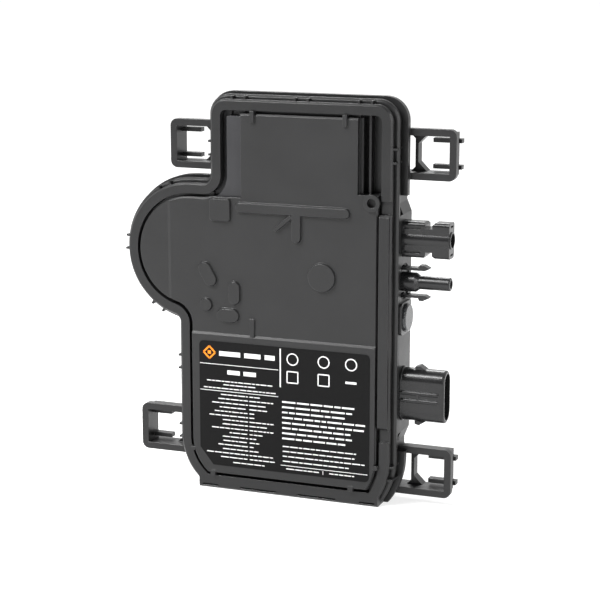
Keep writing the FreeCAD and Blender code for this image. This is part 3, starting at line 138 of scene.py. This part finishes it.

# ---------------------------------------------------------------------------
# Rear case.  A deep tray of glass-filled black polymer with four hollow ears, all
# one moulding.  Its skin is spark-eroded in the tool, so it is finely grained; along its
# edges the roughness is lower where hands and brackets have rubbed it, and the colour carries a
# painted highlight.


def moulded(name, colour, rough, grain_per_m, grain_depth, edge_round=0.00035, edge_highlight_gain=3.2,
            shine=0.4):
    """Moulded polymer: fine grain, faint flow mottling, and edges with lower roughness and a
    painted highlight in the colour.
    """
    paint = bpy.data.materials.new(name)
    paint.use_nodes = True
    tree = paint.node_tree
    new = tree.nodes.new
    link = tree.links.new
    shader = tree.nodes["Principled BSDF"]
    shader.inputs["Specular IOR Level"].default_value = shine
    place = new("ShaderNodeTexCoord")
    grain = new("ShaderNodeTexNoise")
    grain.inputs["Scale"].default_value = grain_per_m
    grain.inputs["Detail"].default_value = 3.0
    link(place.outputs["Object"], grain.inputs["Vector"])
    flow = new("ShaderNodeTexNoise")
    flow.inputs["Scale"].default_value = 42.0
    flow.inputs["Detail"].default_value = 5.0
    flow.inputs["Roughness"].default_value = 0.6
    link(place.outputs["Object"], flow.inputs["Vector"])
    # edges: where a rounded normal leaves the flat one; this mask paints a highlight into the
    # colour there and lowers the roughness
    rounded = new("ShaderNodeBevel")
    rounded.samples = 4
    rounded.inputs["Radius"].default_value = edge_round
    flat = new("ShaderNodeNewGeometry")
    agree = new("ShaderNodeVectorMath")
    agree.operation = "DOT_PRODUCT"
    link(rounded.outputs["Normal"], agree.inputs[0])
    link(flat.outputs["Normal"], agree.inputs[1])
    edge = new("ShaderNodeMapRange")
    edge.inputs["From Min"].default_value = 0.995
    edge.inputs["From Max"].default_value = 0.86
    link(agree.outputs["Value"], edge.inputs["Value"])
    mottle = new("ShaderNodeMapRange")
    mottle.inputs["From Min"].default_value = 0.3
    mottle.inputs["From Max"].default_value = 0.7
    mottle.inputs["To Min"].default_value = 0.88
    mottle.inputs["To Max"].default_value = 1.14
    link(flow.outputs["Fac"], mottle.inputs["Value"])
    # the colour is mixed towards a lighter one on the edges: a painted highlight, varied by the
    # mottling
    colour_with_highlight = new("ShaderNodeMix")
    colour_with_highlight.data_type = "RGBA"
    colour_with_highlight.inputs["A"].default_value = (*colour, 1.0)
    colour_with_highlight.inputs["B"].default_value = (*[min(c * edge_highlight_gain, 1.0) for c in colour], 1.0)
    painted_highlight_factor = new("ShaderNodeMath")
    painted_highlight_factor.operation = "MULTIPLY"
    link(edge.outputs["Result"], painted_highlight_factor.inputs[0])
    link(mottle.outputs["Result"], painted_highlight_factor.inputs[1])
    painted_highlight_factor.use_clamp = True
    link(painted_highlight_factor.outputs["Value"], colour_with_highlight.inputs["Factor"])
    tint = new("ShaderNodeVectorMath")
    tint.operation = "SCALE"
    link(colour_with_highlight.outputs["Result"], tint.inputs[0])
    link(mottle.outputs["Result"], tint.inputs["Scale"])
    link(tint.outputs["Vector"], shader.inputs["Base Color"])
    # roughness varies with the flow and drops on rubbed edges
    gloss = new("ShaderNodeMapRange")
    gloss.inputs["From Min"].default_value = 0.25
    gloss.inputs["From Max"].default_value = 0.75
    gloss.inputs["To Min"].default_value = rough - 0.05
    gloss.inputs["To Max"].default_value = rough + 0.06
    link(flow.outputs["Fac"], gloss.inputs["Value"])
    polish = new("ShaderNodeMath")
    polish.operation = "MULTIPLY_ADD"
    link(edge.outputs["Result"], polish.inputs[0])
    polish.inputs[1].default_value = -0.14
    link(gloss.outputs["Result"], polish.inputs[2])
    link(polish.outputs["Value"], shader.inputs["Roughness"])
    bump = new("ShaderNodeBump")
    bump.inputs["Strength"].default_value = 0.6
    bump.inputs["Distance"].default_value = grain_depth
    link(grain.outputs["Fac"], bump.inputs["Height"])
    link(rounded.outputs["Normal"], bump.inputs["Normal"])
    link(bump.outputs["Normal"], shader.inputs["Normal"])
    return paint


def dress(node, paint):
    """Gives a node of the frame its own finish."""
    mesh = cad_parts[node].data
    mesh.materials.clear()
    mesh.materials.append(paint)


case_black = (0.010, 0.010, 0.0103)
dress("rear_case", moulded("case_polymer", case_black, 0.38, 1700, 0.00006))

# ---------------------------------------------------------------------------
# Front cover.  The frame round the face: rim, groove, ledge and skirt in one
# moulding of the same polymer, welded to the case at the flange.
dress("front_cover", moulded("cover_polymer", case_black, 0.35, 1900, 0.00005))

# Face panel.  A plate with raised ribs and pads set into the frame; flatter and
# more evenly grained than the frame round it.
panel_black = (0.0125, 0.0125, 0.0128)
dress("front_panel", moulded("panel_polymer", panel_black, 0.42, 2300, 0.00005))

# ---------------------------------------------------------------------------
# Rating label.  Matt black film stuck to the lower part of the panel, printed in
# white with one orange mark.  The print is only bars and plain figures.
label_low, label_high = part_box("rating_label")
label_face_y = label_low[1]
ink_thickness = 0.00003
heading_row = 0.0042
type_row = 0.0038
large_row = 0.00145
foot_row = 0.00095
small_row = 0.00085
thin_line = 0.0003
thick_line = 0.0007
figure_line = 0.0006
figure_half = 0.003
rng = random.Random(7)


def film(name, colour, rough):
    """Printed film: nearly even colour with a faint orange-peel skin."""
    paint = bpy.data.materials.new(name)
    paint.use_nodes = True
    tree = paint.node_tree
    shader = tree.nodes["Principled BSDF"]
    place = tree.nodes.new("ShaderNodeTexCoord")
    peel = tree.nodes.new("ShaderNodeTexNoise")
    peel.inputs["Scale"].default_value = 900.0
    tree.links.new(place.outputs["Object"], peel.inputs["Vector"])
    tone = tree.nodes.new("ShaderNodeMapRange")
    tone.data_type = "FLOAT_VECTOR"
    tone.inputs["To Min"].default_value = [c * 0.86 for c in colour]
    tone.inputs["To Max"].default_value = [c * 1.12 for c in colour]
    tree.links.new(peel.outputs["Color"], tone.inputs["Vector"])
    tree.links.new(tone.outputs["Vector"], shader.inputs["Base Color"])
    shader.inputs["Roughness"].default_value = rough
    shader.inputs["Specular IOR Level"].default_value = 0.14
    bump = tree.nodes.new("ShaderNodeBump")
    bump.inputs["Strength"].default_value = 0.25
    bump.inputs["Distance"].default_value = 0.00003
    tree.links.new(peel.outputs["Fac"], bump.inputs["Height"])
    tree.links.new(bump.outputs["Normal"], shader.inputs["Normal"])
    return paint


dress("rating_label", film("label_film", (0.0035, 0.0035, 0.0036), 0.55))


def ink_bar(bm, x0, x1, z0, z1):
    """One printed bar on the label's face, from corner to corner."""
    turn = Matrix.Rotation(math.radians(90), 4, "X")
    place = Matrix.Translation(((x0 + x1) / 2, label_face_y, (z0 + z1) / 2))
    size = Matrix.Diagonal((abs(x1 - x0) / 2, abs(z1 - z0) / 2, 1, 1))
    bmesh.ops.create_grid(bm, x_segments=1, y_segments=1, size=1, matrix=place @ turn @ size)


def ink_line(bm, a, b, wide):
    """Printed stroke between two points on the label's face."""
    run = Vector((b[0] - a[0], b[1] - a[1]))
    turn = Matrix.Rotation(math.radians(90), 4, "X")
    lean = Matrix.Rotation(-math.atan2(run.y, run.x), 4, "Y")
    place = Matrix.Translation(((a[0] + b[0]) / 2, label_face_y, (a[1] + b[1]) / 2))
    size = Matrix.Diagonal((run.length / 2, wide / 2, 1, 1))
    bmesh.ops.create_grid(bm, x_segments=1, y_segments=1, size=1, matrix=place @ lean @ turn @ size)


def ink_loop(bm, points, wide):
    for a, b in zip(points, points[1:] + points[:1]):
        ink_line(bm, a, b, wide)


def ink_row(bm, x0, x1, z, high):
    """A row of plain bars of uneven length, with gaps between them."""
    x = x0
    while x < x1 - high * 1.2:
        reach = min(high * rng.uniform(1.6, 5.5), x1 - x)
        ink_bar(bm, x, x + reach, z - high * 0.3, z + high * 0.3)
        x += reach + high * 0.55


def ink_ring(bm, x, z, radius, wide):
    """Printed ring round a point."""
    turns = [math.radians(15 * step) for step in range(24)]
    ink_loop(bm, [(x + radius * math.cos(a), z + radius * math.sin(a)) for a in turns], wide)


def finish_ink(bm, name, paint):
    """Gives the print its thickness and joins it to the object."""
    for face in bm.faces:
        face.normal_update()
    grown = bmesh.ops.extrude_face_region(bm, geom=bm.faces[:])
    fresh = [part for part in grown["geom"] if isinstance(part, bmesh.types.BMVert)]
    bmesh.ops.translate(bm, verts=fresh, vec=(0, -ink_thickness, 0))
    bmesh.ops.recalc_face_normals(bm, faces=bm.faces[:])
    mesh = bpy.data.meshes.new(name)
    bm.to_mesh(mesh)
    bm.free()
    mesh.materials.append(paint)
    piece = bpy.data.objects.new(name, mesh)
    bpy.context.scene.collection.objects.link(piece)
    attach(piece, "housing")
    return piece


label_x = label_low[0]
label_z = label_high[2]


def on_label(x_mm, drop_mm):
    """Place on the label from its upper left corner, in millimetres."""
    return label_x + x_mm / 1000, label_z - drop_mm / 1000


bm = bmesh.new()
# heading bar beside the orange mark
x, z = on_label(11.4, 6.3)
ink_row(bm, x, x + 0.0315, z, heading_row)
# dividing lines
for start, end, drop in ((0.3, 44.8, 12.3), (0.3, 44.8, 26.7), (46.1, 94.3, 63.7)):
    a = on_label(start, drop)
    b = on_label(end, drop)
    ink_line(bm, a, b, thin_line)
ink_line(bm, on_label(46.0, 0.8), on_label(46.0, 21.4), thick_line)
# one large row and three small ones, centred in the left column
x, z = on_label(16.0, 16.2)
ink_row(bm, x, x + 0.0163, z, type_row)
for start, end, drop in ((4.2, 41.5, 21.3), (13.7, 32.1, 23.1), (2.4, 43.3, 25.2)):
    x, z = on_label(start, drop)
    ink_row(bm, x, x + (end - start) / 1000, z, small_row)
# rows of bars on both sides of a middle line, of uneven length
column = 27.6
column_gap = 0.9
first_drop = 28.5
row_pitch = 2.28
for row in range(16):
    drop = first_drop + row * row_pitch
    left_length = rng.uniform(9.0, 24.0)
    right_length = rng.uniform(3.0, 15.0)
    x, z = on_label(column - left_length, drop)
    ink_row(bm, x, x + left_length / 1000, z, small_row)
    x, z = on_label(column + column_gap, drop)
    ink_row(bm, x, x + right_length / 1000, z, small_row)
x, z = on_label(19.0, 65.3)
ink_row(bm, x, x + 0.018, z, small_row)
# plain figures: three rings above two squares and a bar
upper_drop = 6.0
lower_drop = 15.6
for centre in (52.8, 70.0, 85.0):
    x, z = on_label(centre, upper_drop)
    ink_ring(bm, x, z, figure_half, figure_line)
for centre in (52.8, 70.0):
    x, z = on_label(centre, lower_drop)
    ink_loop(bm, [(x - figure_half, z - figure_half), (x + figure_half, z - figure_half),
                  (x + figure_half, z + figure_half), (x - figure_half, z + figure_half)],
             figure_line)
x, z = on_label(85.0, lower_drop)
ink_bar(bm, x - figure_half, x + figure_half, z - figure_line, z + figure_line)
# eight larger rows in the right column, and four small ones under them
shortest_row = 0.035
longest_row = 0.046
for row in range(8):
    x, z = on_label(47.0, 29.2 + row * 2.82)
    ink_row(bm, x, x + rng.uniform(shortest_row, longest_row), z, large_row)
for row in range(4):
    x, z = on_label(47.3, 53.3 + row * 2.68)
    ink_row(bm, x, x + rng.uniform(shortest_row, longest_row), z, foot_row)
for start, end in ((49.2, 67.6), (73.3, 87.0)):
    x, z = on_label(start, 65.4)
    ink_row(bm, x, x + (end - start) / 1000, z, small_row)
ink_line(bm, on_label(69.8, 64.4), on_label(69.8, 66.4), thin_line)
finish_ink(bm, "label_print_white", film("label_ink_white", (0.72, 0.72, 0.72), 0.5))

# The one coloured mark: a plain lozenge.
bm = bmesh.new()
x, z = on_label(5.8, 6.1)
mark = 0.0033
mark_line = 0.0009
ink_loop(bm, [(x - mark, z), (x, z - mark), (x + mark, z), (x, z + mark)], mark_line)
ink_bar(bm, x - mark_line, x + mark_line, z - mark_line, z + mark_line)
finish_ink(bm, "label_print_orange", film("label_ink_orange", (0.86, 0.25, 0.02), 0.5))

# ---------------------------------------------------------------------------
# Gasket in the seam between cover and case, and the seals behind the connectors:
# soft black rubber, cut from sheet.
rubber = moulded("seal_rubber", (0.012, 0.012, 0.012), 0.62, 900, 0.00004, edge_round=0.0001)
for node in ("cover_seal", "dc_wide_seal", "dc_slim_seal", "ac_seal"):
    dress(node, rubber)

# ---------------------------------------------------------------------------
# Connectors.  Harder and glossier than the case: unfilled polyamide with a smooth
# skin.  Wide DC housing, slim DC nose with its two spring arms, AC shroud, bezel.
gloss_black = moulded("connector_polymer", (0.011, 0.011, 0.0115), 0.23, 700, 0.00002,
                      edge_round=0.00045)
for node in ("dc_wide_housing", "dc_slim_nose", "latch_arm_upper", "latch_arm_lower",
             "ac_shroud", "lens_bezel"):
    dress(node, gloss_black)
dress("ac_insulator", moulded("connector_insert", (0.02, 0.02, 0.021), 0.4, 1500, 0.00003))


def metal(name, colour, rough, brush_per_m):
    """Drawn or plated metal with fine marks along it."""
    paint = bpy.data.materials.new(name)
    paint.use_nodes = True
    tree = paint.node_tree
    shader = tree.nodes["Principled BSDF"]
    shader.inputs["Metallic"].default_value = 1.0
    place = tree.nodes.new("ShaderNodeTexCoord")
    stretch = tree.nodes.new("ShaderNodeMapping")
    stretch.inputs["Scale"].default_value = (0.06, 1.0, 1.0)
    marks = tree.nodes.new("ShaderNodeTexNoise")
    marks.inputs["Scale"].default_value = brush_per_m
    marks.inputs["Detail"].default_value = 4.0
    tree.links.new(place.outputs["Object"], stretch.inputs["Vector"])
    tree.links.new(stretch.outputs["Vector"], marks.inputs["Vector"])
    ramp = tree.nodes.new("ShaderNodeValToRGB")
    ramp.color_ramp.elements[0].position = 0.3
    ramp.color_ramp.elements[0].color = (*[c * 0.8 for c in colour], 1)
    ramp.color_ramp.elements[1].position = 0.7
    ramp.color_ramp.elements[1].color = (*colour, 1)
    tree.links.new(marks.outputs["Fac"], ramp.inputs["Fac"])
    tree.links.new(ramp.outputs["Color"], shader.inputs["Base Color"])
    spread = tree.nodes.new("ShaderNodeMapRange")
    spread.inputs["To Min"].default_value = rough - 0.06
    spread.inputs["To Max"].default_value = rough + 0.1
    tree.links.new(marks.outputs["Fac"], spread.inputs["Value"])
    tree.links.new(spread.outputs["Result"], shader.inputs["Roughness"])
    return paint


# Contacts: tin-plated copper, turned pins and stamped leads.
contact_metal = metal("contact_tin", (0.78, 0.76, 0.72), 0.28, 1800)
for node in ("dc_wide_pin", "dc_slim_socket", "ac_pins", "dc_wide_lead", "dc_slim_lead",
             "ac_leads"):
    dress(node, contact_metal)

# ---------------------------------------------------------------------------
# Status window: a smoke-tinted domed light guide pushed through the bezel, over a small
# white emitter on the board.
lens = bpy.data.materials.new("lens_smoke")
lens.use_nodes = True
lens_shader = lens.node_tree.nodes["Principled BSDF"]
lens_shader.inputs["Transmission Weight"].default_value = 0.55
lens_shader.inputs["IOR"].default_value = 1.49
lens_place = lens.node_tree.nodes.new("ShaderNodeTexCoord")
lens_haze = lens.node_tree.nodes.new("ShaderNodeTexNoise")
lens_haze.inputs["Scale"].default_value = 350.0
lens.node_tree.links.new(lens_place.outputs["Object"], lens_haze.inputs["Vector"])
lens_tone = lens.node_tree.nodes.new("ShaderNodeValToRGB")
lens_tone.color_ramp.elements[0].color = (0.05, 0.053, 0.056, 1)
lens_tone.color_ramp.elements[1].color = (0.09, 0.094, 0.1, 1)
lens.node_tree.links.new(lens_haze.outputs["Fac"], lens_tone.inputs["Fac"])
lens.node_tree.links.new(lens_tone.outputs["Color"], lens_shader.inputs["Base Color"])
lens_spread = lens.node_tree.nodes.new("ShaderNodeMapRange")
lens_spread.inputs["To Min"].default_value = 0.06
lens_spread.inputs["To Max"].default_value = 0.14
lens.node_tree.links.new(lens_haze.outputs["Fac"], lens_spread.inputs["Value"])
lens.node_tree.links.new(lens_spread.outputs["Result"], lens_shader.inputs["Roughness"])
dress("status_lens", lens)
dress("status_led", moulded("led_body", (0.7, 0.7, 0.66), 0.35, 1500, 0.00002))

# ---------------------------------------------------------------------------
# Inside the case, under the resin: the board with its transformer, capacitors,
# choke and power switches.  Hidden in use; each keeps its own finish.
dress("potting_compound", moulded("resin", (0.022, 0.022, 0.024), 0.36, 260, 0.00015))
dress("main_board", moulded("board_laminate", (0.012, 0.075, 0.036), 0.3, 3000, 0.00002))
for node in ("transformer_core_front", "transformer_core_rear", "choke_core"):
    dress(node, moulded("ferrite_" + node, (0.035, 0.035, 0.037), 0.42, 2600, 0.00005))
for node in ("transformer_bobbin", "choke_base"):
    dress(node, moulded("bobbin_" + node, (0.05, 0.045, 0.04), 0.5, 1500, 0.00003))


def wound(name, colour, turn_width):
    """Enamelled wire laid in turns: bands across the winding's axis."""
    paint = metal(name, colour, 0.3, 900)
    tree = paint.node_tree
    place = tree.nodes.new("ShaderNodeTexCoord")
    turns = tree.nodes.new("ShaderNodeTexWave")
    turns.bands_direction = "Y"
    turns.inputs["Scale"].default_value = 0.314 / turn_width
    turns.inputs["Distortion"].default_value = 0.4
    tree.links.new(place.outputs["Object"], turns.inputs["Vector"])
    bump = tree.nodes.new("ShaderNodeBump")
    bump.inputs["Strength"].default_value = 0.8
    bump.inputs["Distance"].default_value = turn_width * 0.3
    tree.links.new(turns.outputs["Fac"], bump.inputs["Height"])
    tree.links.new(bump.outputs["Normal"], tree.nodes["Principled BSDF"].inputs["Normal"])
    return paint


for node, turn_width in (("primary_winding", 0.0009), ("secondary_winding", 0.0004),
                         ("choke_windings", 0.0008)):
    dress(node, wound("copper_" + node, (0.62, 0.27, 0.11), turn_width))
for node in ("input_capacitors", "heat_spreader"):
    dress(node, metal("aluminium_" + node, (0.72, 0.72, 0.73), 0.34, 1400))
dress("film_capacitors", moulded("film_box", (0.42, 0.36, 0.2), 0.45, 1200, 0.00003))
for node in ("dc_transistors", "ac_transistors", "controller_chip", "communication_chip",
             "gate_drivers", "current_shunt"):
    dress(node, moulded("package_" + node, (0.025, 0.025, 0.026), 0.55, 3200, 0.00003))
dress("chip_capacitors", moulded("chip_ceramic", (0.36, 0.25, 0.14), 0.4, 4000, 0.00002))
dress("thermal_pads", moulded("pad_silicone", (0.35, 0.42, 0.46), 0.7, 2500, 0.00004))
dress("surge_varistor", moulded("varistor_coat", (0.03, 0.1, 0.3), 0.35, 500, 0.00006))
dress("ac_fuse", moulded("fuse_body", (0.55, 0.54, 0.5), 0.3, 1500, 0.00002))
